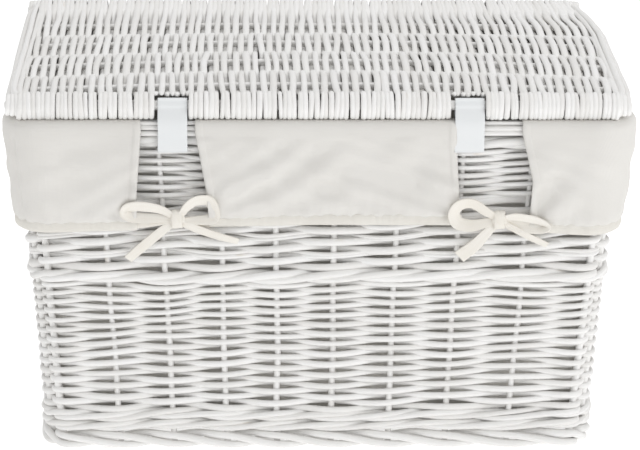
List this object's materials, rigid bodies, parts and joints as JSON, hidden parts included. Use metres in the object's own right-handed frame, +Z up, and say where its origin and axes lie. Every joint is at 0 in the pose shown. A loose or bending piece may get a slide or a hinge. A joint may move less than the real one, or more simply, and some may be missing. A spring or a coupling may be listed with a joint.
{
  "type": "wicker storage trunk",
  "caption": "Rectangular woven willow storage trunk, painted white, with a flat woven lid on two band hinges and a cotton liner that folds over the rim and ties with bows.",
  "frame": {"origin": "middle of the trunk's box on the surface it stands on", "axes": "+X along the length, +Y from the hinge side to the far side, +Z up"},
  "size_m": [0.6, 0.384, 0.367],
  "materials": {
    "willow_weave": "white satin paint on woven willow",
    "willow_rods": "white satin paint on straight willow rods",
    "band": "smooth white imitation leather",
    "liner_cotton": "plain cream cotton weave",
    "tie_tape": "folded and stitched cream cotton tape"
  },
  "bodies": {
    "basket": {"foot_border": "willow_weave", "bottom_wale": "willow_weave", "lower_side_weave": "willow_weave", "middle_wale": "willow_weave", "upper_side_weave": "willow_weave", "top_side_weave": "willow_weave", "rim_border": "willow_weave", "side_stakes": "willow_rods", "corner_posts": "willow_rods", "base_weave": "willow_weave", "base_sticks": "willow_rods", "hinge_band_left": "band", "hinge_band_right": "band", "liner_bag": "liner_cotton", "skirt_middle": "liner_cotton", "skirt_round": "liner_cotton", "hem_casing_middle": "liner_cotton", "hem_casing_round": "liner_cotton", "drawtape_middle": "liner_cotton", "drawtape_round": "liner_cotton", "bow_left_knot": "tie_tape", "bow_left_loops": "tie_tape", "bow_left_tails": "tie_tape", "bow_right_knot": "tie_tape", "bow_right_loops": "tie_tape", "bow_right_tails": "tie_tape"},
    "lid": {"lid_hinge_rod": "willow_rods", "lid_far_rod": "willow_rods", "lid_left_rod": "willow_rods", "lid_right_rod": "willow_rods", "lid_sticks": "willow_rods", "lid_weave": "willow_weave", "lid_hinge_wrap": "willow_weave", "lid_far_wrap": "willow_weave", "lid_left_edge": "willow_weave", "lid_right_edge": "willow_weave"}
  },
  "joints": [
    {"name": "lid_hinge", "type": "hinge", "parent": "basket", "child": "lid", "pos_m": [0, -0.18, 0.355], "axis": [1, 0, 0], "range_deg": [0, 110]}
  ]
}
